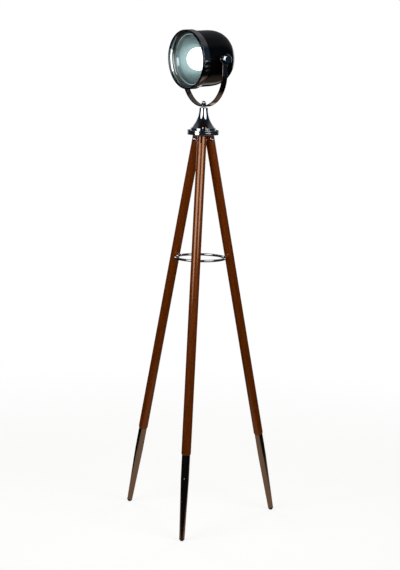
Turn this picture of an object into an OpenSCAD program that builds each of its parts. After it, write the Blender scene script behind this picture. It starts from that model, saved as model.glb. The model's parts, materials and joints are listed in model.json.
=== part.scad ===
// Tripod spotlight floor lamp.
// The frame stands on the floor, +Z up, and at rest the lamp head aims along -Y.
// The origin is on the floor, in the middle of the rectangle that holds the three feet.

/* [Tripod] */
// Height of the leg hinge bolts above the floor
leg_pivot_h = 1240; // [1000:5:1500]
// Radius of the circle through the three feet
foot_spread = 278; // [220:2:360]
// Turn of the tripod under the lamp head, about the stand's axis
leg_turn = 45; // [0:1:119]
// Diameter of a wooden leg
leg_d = 30; // [24:1:38]
// Gap between neighbouring legs at their hinge bolts
leg_gap = 13; // [10:0.5:24]
// Length of a metal ferrule
ferrule_l = 260; // [150:5:340]
// Diameter of a ferrule where it meets the wood
ferrule_d = 26; // [21:0.5:32]
// Diameter of a ferrule at its foot end
ferrule_tip_d = 17; // [14:0.5:20]
// Length of rubber that shows below a ferrule
foot_l = 8; // [6:0.5:14]

/* [Brace ring] */
// Height of the ring's centre above the floor
ring_h = 860; // [500:5:1000]
// Diameter of the ring's rod
ring_rod_d = 8; // [6:0.5:10]
// Length of the sleeves between the ring and the legs
ring_standoff = 3; // [2:0.5:8]
// Diameter of the screws that hold the ring
ring_screw_d = 4; // [3:0.5:4.5]

/* [Leg joint] */
// Thickness of a hub tongue
tongue_t = 5; // [4:0.5:7]
// Radius of a tongue's round end
tongue_r = 10; // [8:0.5:12]
// Height of the hub plate above the hinge bolts
hub_drop = 15.5; // [15:0.5:20]
// Diameter of a hinge bolt
hinge_bolt_d = 6; // [5:0.5:7]

/* [Flange and bell cap] */
// Radius of the flange
flange_r = 50.5; // [48:0.5:65]
// Thickness of each of the two flange plates
flange_t = 7.3; // [7:0.1:10]
// Height of the bell cap
bell_h = 71; // [50:1:90]
// Radius of the bell cap's foot
bell_foot_r = 40; // [34:0.5:45]
// Radius of the bell cap's neck
bell_neck_r = 13.7; // [13:0.1:18]
// Wall of the bell cap
bell_wall = 2.5; // [2:0.1:4]

/* [Yoke] */
// Width of the yoke strip
yoke_w = 20; // [16:0.5:22]
// Thickness of the yoke strip
yoke_t = 4; // [3:0.5:5]
// Gap between the rim and a yoke arm
head_gap = 8.5; // [8:0.5:15]
// Gap between the rim's nose and the yoke's bend when the head aims straight down
nose_gap = 3.7; // [3.5:0.1:6]
// Diameter of the centre stud and of the two tilt studs
stud_d = 8; // [6:1:10]
// Height of the bush under the yoke
bush_h = 3; // [2.5:0.5:12]

/* [Lamp head] */
// Downward tilt of the head at rest
head_dip = 3; // [0:1:10]
// Radius of the rim and of the clamp band
rim_r = 93.5; // [80:0.5:112]
// Distance from the tilt axis forward to the rim
rim_front = 77; // [70:0.5:92]
// Step from the housing out to the clamp band
band_step = 5; // [4.5:0.1:7]
// Distance from the tilt axis back to the end of the dome
dome_l = 83; // [78:0.5:100]
// Squareness of the dome, where 2 is an ellipse
dome_n = 2.8; // [2:0.1:3.6]
// Wall of the housing
housing_wall = 1.5; // [1:0.1:2.5]
// Distance from the rim back to the face of the lens
lens_set_back = 21; // [16:0.5:24]
// Thickness of the lens
lens_t = 4; // [3:0.5:5]
// Rise of the lens from its edge to its middle
lens_rise = 12; // [4:0.5:13]
// Width of the clamp band along the head
band_w = 21.5; // [20:0.5:23]
// Angle of the clamp below the tilt axis
clamp_dip = 10; // [0:1:20]

/* [Clamp knobs] */
// Diameter of a knob
knob_d = 35; // [26:1:40]
// Thickness of a knob's disc
knob_t = 7; // [6:0.5:14]
// Length of a knob's neck
knob_neck = 5; // [4:0.5:16]

/* [Bulb] */
// Diameter of the bulb's glass
bulb_d = 72; // [50:1:76]
// Length of the bulb with its cap
bulb_l = 106; // [95:1:108]

/* [Hidden] */

$fn = 96;

// Clearances
run_gap = 0.08; // radial, between a stud and what turns on it
slide_gap = 0.1; // between flat faces that turn on each other
slot_gap = 0.3; // each side of a hub tongue in its leg slot
free_gap = 0.4; // between curved faces on pieces that move apart
fit_gap = 0.2; // radial, between a bored piece and what lies in it
seat_gap = 0.15; // between a flat piece and the curved shell it bears on

// Tripod
leg_r = leg_d / 2;
hinge_r = (leg_d + leg_gap) / sqrt(3);
splay = atan((foot_spread - hinge_r) / leg_pivot_h);
leg_l = leg_pivot_h / cos(splay);
leg_above = 20; // wood above the hinge bolt, before the top is sawn level
leg_top_gap = 1; // between the level top and the hub
ferrule_top = leg_l - foot_l - ferrule_l;
spigot_l = 88; // wood inside the ferrule
spigot_r = ferrule_d / 2 - 2.5;
ferrule_straight = 76; // cylindrical part of the ferrule
wood_bevel = 5; // length of the bevel down to the ferrule
foot_r = ferrule_tip_d / 2;
foot_plug_r = foot_r - 3;
foot_plug_l = 15;
foot_toe_r = 3.5; // end of the foot's taper, at the floor
foot_skirt = 2.5; // straight part of the foot's rubber
screw_r = 1.6; // ferrule screw
screw_head_r = 2.6;

// The feet in the stand's own frame, and the place of the stand's axis
foot_xy = [for (i = [0:2]) foot_spread * [sin(leg_turn + 120 * i), -cos(leg_turn + 120 * i)]];
foot_x = [for (p = foot_xy) p[0]];
foot_y = [for (p = foot_xy) p[1]];
stand_at = -[max(foot_x) + min(foot_x), max(foot_y) + min(foot_y), 0] / 2;

// Leg joint
slot_w = tongue_t + 2 * slot_gap;
slot_end = 13; // slot below the hinge bolt
bolt_r = hinge_bolt_d / 2;
seat_r = 6.6; // spot face on a leg
seat_depth = 1.5;
bolt_seat = leg_r - seat_depth;
bolt_washer_t = 1;
bolt_head_h = 3.5;
nut_round_r = 5.4; // domed heads and cap nuts

// Flange stack
hub_z = leg_pivot_h + hub_drop;
flange_z = hub_z + flange_t;
bell_z = flange_z + flange_t;
bell_top = bell_z + bell_h;
groove = 0.8; // chamfer that makes the groove round the flange
hub_screw_ring = flange_r - 8;
hub_screw_d = 5;
stud_r = stud_d / 2;
nut_af = stud_d * 1.625; // across the flats
nut_r = nut_af / 2 / cos(30);
nut_h = stud_d * 0.8;
pocket_r = nut_r + 1.2;
washer_r = nut_r + 1;
washer_t = 1.2;

// Yoke
yoke_under = bell_top + bush_h;
yoke_ri = rim_r + head_gap;
yoke_ro = yoke_ri + yoke_t;
yoke_bend = yoke_under + yoke_ro;
yoke_drop = rim_front - sqrt(pow(yoke_ri, 2) - pow(rim_r + nose_gap, 2));
pivot_h = yoke_bend + yoke_drop;
yoke_in = yoke_under + yoke_t; // top of the strip at the stud
cap_nut_h = nut_h + nut_af * 0.45;

// Lamp head, measured along its own axis from the tilt axis
housing_r = rim_r - band_step;
housing_ri = housing_r - housing_wall;
lens_face = rim_front - lens_set_back;
lens_back = lens_face - lens_t;
gasket_t = 1;
flange_front = lens_face - fit_gap / 2;
lip_t = 1.2;
lip_back = lens_face + gasket_t;
clear_r = rim_r - 13; // free radius of the lens
lens_dome_r = clear_r - 0.5; // radius of the part of the lens that bulges
lens_ball = (pow(lens_dome_r, 2) + pow(lens_rise, 2)) / (2 * lens_rise); // ball of its inner face
hood_r = rim_r - 5.5;
bead_r = 2.75;
band_t = 1.6;
band_front = rim_front - 2 * bead_r;
band_back = band_front - band_w;
band_ri = rim_r - band_t;
lug_top = 4.5; // lug above the band
lug_l = 12; // lug along the band
lug_w = 17;
lug_gap = 4; // split between the lugs
lug_z = (band_front + band_back) / 2;
clamp_screw_r = 1.5;
clamp_nut_af = 5.5;
clamp_r = rim_r + 1.8;
bulb_front = lens_back + lens_rise - 4;
bulb_r = bulb_d / 2;
glass_wall = 1;
cap_l = 26;
cap_r = 13.2;
cap_back = bulb_front - bulb_l;
cap_front = cap_back + cap_l;
holder_r = 20;
holder_wall = 6;
holder_front = cap_front - 2;
holder_back = cap_back - 14;
mirror_edge = lens_back - 0.5;
mirror_t = 1;
mirror_neck_r = holder_r + 2;
mirror_back = holder_front - 6;
mirror_end = mirror_back - 8; // end of the reflector's cylindrical neck
nipple_r = 5;
cord_r = 3.6;
gland_l = 20;
gland_r = 9;

// Tilt axis, measured outward from the middle of the head
boss_out = yoke_ri - slide_gap;
boss_r = 8;
boss_foot_r = 11;
washer_in = yoke_ro;
tilt_washer_t = 1.5;
tilt_washer_r = 9;
knob_in = washer_in + tilt_washer_t + slide_gap;
knob_neck_r = 8;
tilt_stud_end = knob_in + knob_neck + 2;
tilt_stud_in = housing_ri - nut_h - 4;

chrome = "silver";
steel = "slategray";
wood_brown = "saddlebrown";

// Frames ------------------------------------------------------------------

// Leg i: origin on the hinge bolt, -Z down the leg, X along the bolt, -Y outward
module at_leg(i) {
    rotate([0, 0, leg_turn + 120 * i])
        translate([0, -hinge_r, leg_pivot_h])
            rotate([-splay, 0, 0])
                children();
}

// The hub's frame for leg i: origin on the hinge bolt, Z up, -Y outward
module at_hinge(i) {
    rotate([0, 0, leg_turn + 120 * i])
        translate([0, -hinge_r, leg_pivot_h])
            children();
}

// The ring's frame for leg i: origin on the ring's axis at its height, Z outward
module at_ring(i) {
    rotate([0, 0, leg_turn + 120 * i])
        translate([0, 0, ring_h])
            rotate([90, 0, 0])
                children();
}

// The head: origin on the tilt axis, Z forward along the aim, Y up, X to the right
module at_head() {
    translate([0, 0, pivot_h])
        rotate([90 + head_dip, 0, 0])
            children();
}

// One side of the tilt axis: Z outward, side 1 is the right and -1 the left
module at_side(side) {
    translate([0, 0, pivot_h])
        rotate([head_dip, 0, 0])
            rotate([0, 90 * side, 0])
                children();
}

// The clamp: origin on the head's axis, X outward through the split, Y along the screw
module at_clamp() {
    at_head()
        rotate([0, 0, -clamp_dip])
            translate([0, 0, lug_z])
                children();
}

// Common shapes -------------------------------------------------------------

// Tube between two heights
module tube(r_out, r_in, z0, z1) {
    translate([0, 0, z0])
        difference() {
            cylinder(r = r_out, h = z1 - z0);
            translate([0, 0, -1])
                cylinder(r = r_in, h = z1 - z0 + 2);
        }
}

// Hexagon nut with its corners turned off, lying on z = 0
module hex_nut(af, h, bore_r) {
    difference() {
        intersection() {
            cylinder(r = af / 2 / cos(30), h = h, $fn = 6);
            rotate_extrude()
                polygon([[0, 0], [af / 2 * 1.02, 0], [af / 2 * 1.16, af * 0.05],
                    [af / 2 * 1.16, h - af * 0.05], [af / 2 * 1.02, h], [0, h]]);
        }
        translate([0, 0, -1])
            cylinder(r = bore_r, h = h + 2);
    }
}

// Slice of a ball that lies on z = 0 with foot radius r and height h
module dome(r, h) {
    ball = (r * r + h * h) / (2 * h);
    intersection() {
        translate([0, 0, h - ball])
            sphere(r = ball);
        cylinder(r = r + 1, h = h + 1);
    }
}

// Low cheese head with a domed top
module domed_head(r, h) {
    cylinder(r = r, h = h * 0.4);
    translate([0, 0, h * 0.4])
        dome(r, h * 0.6);
}

// Legs -----------------------------------------------------------------------

// Turned rod with a spigot for the ferrule; its top is sawn level under the hub
module leg(i) {
    color(wood_brown)
        difference() {
            at_leg(i)
                rotate_extrude()
                    polygon([[0, leg_above], [leg_r, leg_above], [leg_r, wood_bevel - ferrule_top],
                        [ferrule_d / 2, -ferrule_top], [spigot_r, -ferrule_top],
                        [spigot_r, -ferrule_top - spigot_l], [0, -ferrule_top - spigot_l]]);
            translate([0, 0, hub_z - leg_top_gap])
                cylinder(r = hinge_r + 2 * leg_r, h = 2 * leg_above);
            at_leg(i)
                leg_slot();
            at_leg(i)
                leg_bolt_cut();
            at_ring(i)
                translate([0, 0, ring_r])
                    cylinder(r = ring_screw_d / 2, h = ring_screw_reach);
            at_leg(i)
                ferrule_screw_shank();
        }
}

// Slot for the hub tongue, with a round bottom
module leg_slot() {
    translate([-slot_w / 2, -leg_r - 1, -slot_end + slot_w / 2])
        cube([slot_w, 2 * leg_r + 2, slot_end + leg_above]);
    translate([0, 0, -slot_end + slot_w / 2])
        rotate([90, 0, 0])
            cylinder(r = slot_w / 2, h = 2 * leg_r + 2, center = true);
}

// Bolt hole and the spot faces at its ends
module leg_bolt_cut() {
    rotate([0, 90, 0])
        cylinder(r = bolt_r, h = 2 * leg_r + 2, center = true);
    for (side = [-1, 1])
        rotate([0, 90 * side, 0])
            translate([0, 0, bolt_seat])
                cylinder(r = seat_r, h = seat_depth + 1);
}

module ferrule(i) {
    straight_end = ferrule_top + ferrule_straight;
    tip = ferrule_top + ferrule_l;
    color(chrome)
        at_leg(i)
            difference() {
                rotate_extrude()
                    polygon([[0, -ferrule_top], [ferrule_d / 2, -ferrule_top],
                        [ferrule_d / 2, -straight_end], [foot_r, -tip], [0, -tip]]);
                translate([0, 0, -ferrule_top - spigot_l])
                    cylinder(r = spigot_r, h = spigot_l + 1);
                translate([0, 0, -tip - 1])
                    cylinder(r = foot_plug_r, h = foot_plug_l + 1);
                ferrule_screw_shank();
            }
}

// Hole and shank of the small screw that holds a ferrule, on the leg's outer side
module ferrule_screw_shank() {
    translate([0, -ferrule_d / 2 - 0.5, -ferrule_top - ferrule_straight + 2])
        rotate([-90, 0, 0])
            cylinder(r = screw_r, h = 10, $fn = 32);
}

module ferrule_screws() {
    color(chrome)
        for (i = [0:2])
            at_leg(i) {
                ferrule_screw_shank();
                translate([0, -ferrule_d / 2 + 0.2, -ferrule_top - ferrule_straight + 2])
                    rotate([90, 0, 0])
                        difference() {
                            dome(screw_head_r, 1.4);
                            translate([0, 0, -ferrule_d / 2 + 0.2])
                                rotate([90, 0, 0])
                                    cylinder(r = ferrule_d / 2, h = 20, center = true);
                        }
            }
}

// Rubber tip, tapered to a toe that is cut flat where it stands on the floor
module foot_tip(i) {
    tip = ferrule_top + ferrule_l;
    color("black")
        difference() {
            at_leg(i) {
                translate([0, 0, -tip])
                    cylinder(r = foot_plug_r, h = foot_plug_l - 0.5);
                rotate_extrude()
                    polygon([[0, -tip], [foot_r, -tip], [foot_r, -tip - foot_skirt],
                        [foot_toe_r, -tip - foot_l - 1], [0, -tip - foot_l - 1]]);
            }
            translate([-2 * foot_spread, -2 * foot_spread, -50])
                cube([4 * foot_spread, 4 * foot_spread, 50]);
        }
}

// Leg joint ----------------------------------------------------------------

module hinge_bolts() {
    reach = bolt_seat + bolt_washer_t;
    color(chrome)
        for (i = [0:2])
            at_leg(i)
                rotate([0, 90, 0]) {
                    translate([0, 0, -reach - nut_h])
                        cylinder(r = bolt_r, h = 2 * reach + nut_h);
                    translate([0, 0, reach])
                        domed_head(nut_round_r, bolt_head_h);
                }
}

module hinge_nuts() {
    reach = bolt_seat + bolt_washer_t;
    color(chrome)
        for (i = [0:2])
            at_leg(i)
                rotate([0, -90, 0])
                    translate([0, 0, reach])
                        difference() {
                            union() {
                                cylinder(r = nut_round_r, h = nut_h - 2, $fn = 6);
                                cylinder(r = nut_round_r * cos(30), h = nut_h - 1);
                                translate([0, 0, nut_h - 1])
                                    dome(nut_round_r * cos(30), 3);
                            }
                            translate([0, 0, -1])
                                cylinder(r = bolt_r, h = nut_h + 1);
                        }
}

module hinge_washers() {
    color(chrome)
        for (i = [0:2], side = [-1, 1])
            at_leg(i)
                rotate([0, 90 * side, 0])
                    tube(seat_r - fit_gap, bolt_r, bolt_seat, bolt_seat + bolt_washer_t);
}

// Round plate with a tongue for each leg and a pocket for the stud nut
module leg_hub() {
    color(chrome)
        difference() {
            union() {
                translate([0, 0, hub_z])
                    rotate_extrude()
                        polygon([[0, 0], [flange_r - 1.5, 0], [flange_r, 1.5],
                            [flange_r, flange_t - groove], [flange_r - groove, flange_t], [0, flange_t]]);
                for (i = [0:2])
                    at_hinge(i)
                        tongue();
            }
            translate([0, 0, hub_z - 1])
                cylinder(r = pocket_r, h = flange_t + 2);
            for (i = [0:2])
                at_hinge(i)
                    rotate([0, 90, 0])
                        cylinder(r = bolt_r + run_gap, h = tongue_t + 2, center = true);
            hub_screw_places() {
                translate([0, 0, hub_z - 1])
                    cylinder(r = hub_screw_d / 2, h = flange_t + 2);
                translate([0, 0, hub_z])
                    cylinder(r1 = hub_screw_d, r2 = hub_screw_d / 2, h = hub_screw_d / 2);
            }
        }
}

// Flat tongue that hangs from the hub plate into a leg's slot
module tongue() {
    translate([-tongue_t / 2, 0, 0])
        rotate([90, 0, 90])
            linear_extrude(tongue_t) {
                circle(r = tongue_r);
                translate([-tongue_r, 0])
                    square([2 * tongue_r, hub_drop + 1]);
            }
}

// The three screw places lie between the legs
module hub_screw_places() {
    for (i = [0:2])
        rotate([0, 0, leg_turn + 60 + 120 * i])
            translate([0, -hub_screw_ring, 0])
                children();
}

module hub_screws() {
    color(steel)
        hub_screw_places() {
            translate([0, 0, hub_z])
                cylinder(r = hub_screw_d / 2, h = flange_t + 5);
            translate([0, 0, hub_z])
                cylinder(r1 = hub_screw_d, r2 = hub_screw_d / 2, h = hub_screw_d / 2);
        }
}

// Brace ring ------------------------------------------------------------------

ring_axis_r = hinge_r + (leg_pivot_h - ring_h) * tan(splay);
ring_leg_face = ring_axis_r - leg_r / cos(splay);
ring_r = ring_leg_face - ring_standoff - ring_rod_d / 2;
ring_screw_reach = ring_rod_d / 2 + ring_standoff + 16;
ring_head_h = 2.4;

module brace_ring() {
    color(chrome)
        difference() {
            translate([0, 0, ring_h])
                rotate_extrude()
                    translate([ring_r, 0])
                        circle(r = ring_rod_d / 2, $fn = 48);
            for (i = [0:2])
                at_ring(i)
                    translate([0, 0, ring_r - ring_rod_d])
                        cylinder(r = ring_screw_d / 2, h = 2 * ring_rod_d);
        }
}

// Sleeves that fill the gap from the rod to the leg, shaped to both
module ring_sleeves() {
    color(chrome)
        for (i = [0:2])
            difference() {
                at_ring(i)
                    translate([0, 0, ring_r])
                        difference() {
                            cylinder(r = ring_rod_d / 2 - 0.2, h = ring_rod_d / 2 + ring_standoff + 3);
                            translate([0, 0, -1])
                                cylinder(r = ring_screw_d / 2, h = 2 * ring_rod_d);
                        }
                at_ring(i)
                    translate([0, 0, ring_r])
                        rotate([0, 90, 0])
                            cylinder(r = ring_rod_d / 2, h = 2 * ring_rod_d, center = true);
                at_leg(i)
                    translate([0, 0, -ferrule_top])
                        cylinder(r = leg_r, h = ferrule_top);
            }
}

// Screws driven from inside the ring through the rod into the legs
module ring_screws() {
    color(chrome)
        for (i = [0:2])
            at_ring(i) {
                translate([0, 0, ring_r - ring_rod_d / 2])
                    cylinder(r = ring_screw_d / 2, h = ring_rod_d / 2 + ring_screw_reach - 1);
                translate([0, 0, ring_r - ring_rod_d / 2])
                    rotate([180, 0, 0])
                        domed_head(ring_screw_d * 0.9, ring_head_h);
            }
}

// Flange and bell cap -------------------------------------------------------

module top_flange() {
    color(chrome)
        difference() {
            translate([0, 0, flange_z])
                rotate_extrude()
                    polygon([[0, 0], [flange_r - groove, 0], [flange_r, groove],
                        [flange_r, flange_t - 1.5], [flange_r - 1.5, flange_t], [0, flange_t]]);
            translate([0, 0, flange_z - 1])
                cylinder(r = stud_r, h = flange_t + 2);
            hub_screw_places()
                translate([0, 0, flange_z - 1])
                    cylinder(r = hub_screw_d / 2, h = 6);
        }
}

// Radius of the bell at the share t of its flare's height, 1 at the foot
function bell_r(t, foot_r) = bell_neck_r + (foot_r - bell_neck_r) * t * t;

module bell_cap() {
    foot_h = 6.5;
    lip = 2.8; // ledge above the foot
    round_r = 2.5; // rounded top edge
    flare_h = bell_h - foot_h - round_r;
    steps = 20;
    outer = [for (k = [0:steps]) [bell_r(1 - k / steps, bell_foot_r - lip), foot_h + flare_h * k / steps]];
    top_edge = [for (a = [15:15:90])
        [bell_neck_r - round_r + round_r * cos(a), bell_h - round_r + round_r * sin(a)]];
    inner = [for (k = [steps:-1:0])
        [bell_r(1 - k / steps, bell_foot_r - lip) - bell_wall,
            min(foot_h + flare_h * k / steps, bell_h - round_r - bell_wall)]];
    color(chrome)
        translate([0, 0, bell_z])
            difference() {
                rotate_extrude()
                    polygon(concat([[bell_foot_r - bell_wall, 0], [bell_foot_r - 0.6, 0], [bell_foot_r, 0.6],
                        [bell_foot_r, foot_h - 0.8], [bell_foot_r - 0.8, foot_h]],
                        outer, top_edge, [[0, bell_h], [0, bell_h - round_r - bell_wall]],
                        inner, [[bell_foot_r - bell_wall, foot_h - bell_wall]]));
                translate([0, 0, bell_h / 2])
                    cylinder(r = stud_r, h = bell_h);
            }
}

// Threaded rod that ties the flange, the bell cap and the yoke together
module centre_stud() {
    color(steel)
        translate([0, 0, flange_z - washer_t - nut_h + 0.5])
            cylinder(r = stud_r, h = yoke_in + washer_t + nut_h - (flange_z - washer_t - nut_h + 0.5));
}

module stud_nut() {
    color(steel)
        translate([0, 0, flange_z - washer_t - nut_h])
            hex_nut(nut_af, nut_h, stud_r);
}

module stud_washer() {
    color(steel)
        tube(nut_r + 0.6, stud_r, flange_z - washer_t, flange_z);
}

// Yoke and swivel ------------------------------------------------------------

module swivel_bush() {
    color(chrome)
        tube(stud_r + 2, stud_r, bell_top, yoke_under - slide_gap);
}

module swivel_washer() {
    color(chrome)
        tube(washer_r, stud_r, yoke_in + slide_gap, yoke_in + slide_gap + washer_t);
}

module swivel_cap_nut() {
    base = yoke_in + slide_gap + washer_t;
    dome_r = nut_af / 2 * 0.96;
    color(chrome)
        translate([0, 0, base])
            difference() {
                union() {
                    hex_nut(nut_af, nut_h, stud_r / 2);
                    cylinder(r = dome_r, h = nut_h + 1);
                    translate([0, 0, nut_h + 1])
                        dome(dome_r, cap_nut_h - nut_h);
                }
                translate([0, 0, -1])
                    cylinder(r = stud_r, h = nut_h + 1);
            }
}

// Bent flat strip: a half ring below, and two straight arms with round ends
module yoke() {
    color(steel)
        difference() {
            union() {
                translate([0, -yoke_w / 2, yoke_bend])
                    rotate([-90, 0, 0])
                        rotate_extrude(angle = 180)
                            translate([yoke_ri, 0])
                                square([yoke_t, yoke_w]);
                for (side = [-1, 1])
                    translate([0, 0, yoke_bend])
                        yoke_arm(side);
            }
            translate([0, 0, yoke_under - 1])
                cylinder(r = stud_r + run_gap, h = yoke_t + 2);
            translate([0, 0, yoke_in])
                cylinder(r = washer_r + 1, h = 10);
            translate([0, 0, pivot_h])
                rotate([0, 90, 0])
                    cylinder(r = stud_r + run_gap, h = 2 * yoke_ro + 2, center = true);
        }
}

module yoke_arm(side) {
    translate([side > 0 ? yoke_ri : -yoke_ro, 0, 0]) {
        translate([0, -yoke_w / 2, 0])
            cube([yoke_t, yoke_w, yoke_drop]);
        translate([0, 0, yoke_drop])
            rotate([0, 90, 0])
                cylinder(r = yoke_w / 2, h = yoke_t);
    }
}

module tilt_washer(side) {
    color(chrome)
        translate([0, 0, pivot_h])
            rotate([0, 90 * side, 0])
                tube(tilt_washer_r, stud_r + free_gap, washer_in, washer_in + tilt_washer_t);
}

// Lamp head -------------------------------------------------------------------

// Half outline of the dome: a superellipse of radius r and depth d
function dome_line(r, d, steps) = [for (k = [0:steps])
    let (a = 90 * k / steps)
    [r * pow(cos(a), 2 / dome_n), -d * pow(sin(a), 2 / dome_n)]];

// Spun shell with a domed back and a flange turned out round its mouth
module housing() {
    outer = dome_line(housing_r, dome_l, 22);
    inner = dome_line(housing_ri, dome_l - housing_wall, 22);
    inner_up = [for (k = [22:-1:0]) inner[k]];
    color("#141414")
        difference() {
            at_head()
                rotate_extrude()
                    polygon(concat([[housing_ri, flange_front], [band_ri - fit_gap, flange_front],
                        [band_ri - fit_gap, flange_front - housing_wall],
                        [housing_r, flange_front - housing_wall]], outer, inner_up));
            at_head()
                rotate([0, 90, 0])
                    cylinder(r = stud_r, h = 2 * housing_r + 20, center = true);
            at_head()
                translate([0, 0, -dome_l - 5])
                    cylinder(r = nipple_r, h = 20);
        }
}

// Spacer between the housing and a yoke arm, with a foot that follows the shell
module pivot_boss(side) {
    color(chrome)
        difference() {
            at_side(side)
                translate([0, 0, housing_r - 6])
                    difference() {
                        rotate_extrude()
                            polygon([[0, 0], [boss_foot_r, 0], [boss_foot_r, 7.5], [boss_r, 9.5],
                                [boss_r, boss_out - housing_r + 6], [0, boss_out - housing_r + 6]]);
                        translate([0, 0, -1])
                            cylinder(r = stud_r, h = 60);
                    }
            at_head()
                cylinder(r = housing_r, h = 60, center = true);
        }
}

module pivot_stud(side) {
    color(steel)
        at_side(side)
            translate([0, 0, tilt_stud_in])
                cylinder(r = stud_r, h = tilt_stud_end - tilt_stud_in);
}

// Nut and saddle inside the housing
module pivot_nut(side) {
    color(steel)
        difference() {
            at_side(side)
                translate([0, 0, tilt_stud_in + 1]) {
                    hex_nut(nut_af, nut_h, stud_r);
                    translate([0, 0, nut_h])
                        tube(washer_r, stud_r, 0, 8);
                }
            at_head()
                difference() {
                    cylinder(r = housing_r + 20, h = 60, center = true);
                    cylinder(r = housing_ri - seat_gap, h = 62, center = true);
                }
        }
}

// Spun hood: a rolled bead in front, and behind it a flange that holds the lens
module front_rim() {
    color(chrome)
        at_head()
            rotate_extrude() {
                translate([rim_r - bead_r, rim_front - bead_r])
                    circle(r = bead_r, $fn = 48);
                translate([hood_r, lip_back])
                    square([lip_t, rim_front - bead_r - lip_back]);
                translate([clear_r, lip_back])
                    square([band_ri - fit_gap - clear_r, lip_t]);
            }
}

// Split band over the rim and the mouth of the housing, with two lugs for its screw
module clamp_band() {
    color(chrome)
        difference() {
            union() {
                at_head()
                    rotate_extrude() {
                        translate([band_ri, band_back])
                            square([band_t, band_w]);
                        translate([housing_r + fit_gap, band_back])
                            square([rim_r - band_t / 2 - housing_r - fit_gap, lip_t]);
                    }
                at_clamp()
                    for (side = [-1, 1])
                        lug(side);
            }
            at_clamp() {
                translate([housing_r - 5, -lug_gap / 2, -50])
                    cube([30, lug_gap, 100]);
                rotate([90, 0, 0])
                    translate([clamp_r, 0, 0])
                        cylinder(r = clamp_screw_r, h = 60, center = true, $fn = 48);
            }
        }
}

// Folded end of the band, a block with rounded outer corners
module lug(side) {
    y0 = side > 0 ? lug_gap / 2 : -lug_gap / 2 - lug_l;
    translate([0, y0, -lug_w / 2])
        linear_extrude(lug_w)
            difference() {
                union() {
                    translate([band_ri - 1.2, 0])
                        square([lug_top + band_t + 1.2 - 1.5, lug_l]);
                    translate([band_ri - 1.2, 1.5])
                        square([lug_top + band_t + 1.2, lug_l - 3]);
                    for (y = [1.5, lug_l - 1.5])
                        translate([rim_r + lug_top - 1.5, y])
                            circle(r = 1.5, $fn = 32);
                }
                translate([0, -y0])
                    circle(r = band_ri);
            }
}

module clamp_screw() {
    reach = lug_gap / 2 + lug_l;
    color(chrome)
        at_clamp()
            translate([clamp_r, 0, 0])
                rotate([-90, 0, 0]) {
                    translate([0, 0, -reach - 3.2])
                        cylinder(r = clamp_screw_r, h = 2 * reach + 3.2, $fn = 48);
                    translate([0, 0, reach])
                        domed_head(clamp_nut_af / 2, 2.6);
                }
}

module clamp_nut() {
    color(chrome)
        at_clamp()
            translate([clamp_r, -lug_gap / 2 - lug_l, 0])
                rotate([90, 30, 0])
                    hex_nut(clamp_nut_af, 2.6, clamp_screw_r);
}

// Pressed glass: a flat edge all round, and a middle that bulges forward
module lens() {
    edge = 1;
    r = housing_ri - fit_gap;
    color([0.8, 0.9, 0.9, 0.4])
        at_head()
            difference() {
                union() {
                    rotate_extrude()
                        polygon([[0, lens_back], [r, lens_back], [r, lens_face - edge],
                            [r - edge, lens_face], [0, lens_face]]);
                    intersection() {
                        translate([0, 0, lens_back + lens_rise - lens_ball])
                            sphere(r = lens_ball + lens_t);
                        translate([0, 0, lens_back + lens_t / 2])
                            cylinder(r = lens_dome_r, h = lens_rise + lens_t);
                    }
                }
                translate([0, 0, lens_back + lens_rise - lens_ball])
                    sphere(r = lens_ball);
            }
}

module lens_gasket() {
    color("black")
        at_head()
            tube(housing_ri - fit_gap, clear_r, lens_face, lip_back);
}

// Bowl whose outline is a parabola from the lens back to the lamp holder's collar
module reflector() {
    rim_in = clear_r - 0.5;
    span = mirror_edge - mirror_t - mirror_back;
    steps = 18;
    slope = (rim_in * rim_in - mirror_neck_r * mirror_neck_r) / span;
    bowl = [for (k = [0:steps])
        let (z = mirror_edge - mirror_t - span * k / steps)
        [sqrt(mirror_neck_r * mirror_neck_r + slope * (z - mirror_back)), z]];
    bowl_out = [for (k = [steps:-1:0]) [bowl[k][0] + mirror_t, bowl[k][1] - mirror_t]];
    color("gainsboro")
        at_head()
            rotate_extrude()
                polygon(concat([[housing_ri - fit_gap, mirror_edge], [rim_in, mirror_edge]],
                    bowl, [[mirror_neck_r, mirror_end], [mirror_neck_r + mirror_t, mirror_end]],
                    bowl_out, [[housing_ri - fit_gap, mirror_edge - mirror_t]]));
}

// Screw-cap lamp holder: a cup on the nipple, with a ring that backs the reflector's neck
module lamp_holder() {
    ring_t = 3;
    color("ivory")
        at_head()
            difference() {
                union() {
                    translate([0, 0, holder_back])
                        cylinder(r = holder_r - 2, h = holder_front - holder_back);
                    translate([0, 0, holder_back])
                        cylinder(r = holder_r, h = 14);
                    translate([0, 0, mirror_end - seat_gap - ring_t])
                        cylinder(r = mirror_neck_r + 2, h = ring_t);
                }
                translate([0, 0, holder_back + holder_wall])
                    cylinder(r = cap_r + fit_gap, h = 60);
                translate([0, 0, holder_back - 1])
                    cylinder(r = nipple_r, h = holder_wall + 2);
            }
}

// Spring contact at the bottom of the holder
module holder_contact() {
    color("goldenrod")
        at_head()
            translate([0, 0, holder_back + holder_wall])
                cylinder(r = 5.5, h = cap_back - holder_back - holder_wall - seat_gap);
}

// Frosted globe with a short neck, blown hollow
module bulb_glass() {
    color("white")
        at_head()
            difference() {
                globe(bulb_r, cap_r + glass_wall, cap_front);
                globe(bulb_r - glass_wall, cap_r, cap_front - 1);
            }
}

// Ball on a neck that starts at z0
module globe(ball_r, neck_r, z0) {
    ball_z = bulb_front - bulb_r;
    translate([0, 0, ball_z])
        sphere(r = ball_r);
    translate([0, 0, z0])
        cylinder(r = neck_r, h = ball_z - ball_r * 0.8 - z0);
}

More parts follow.
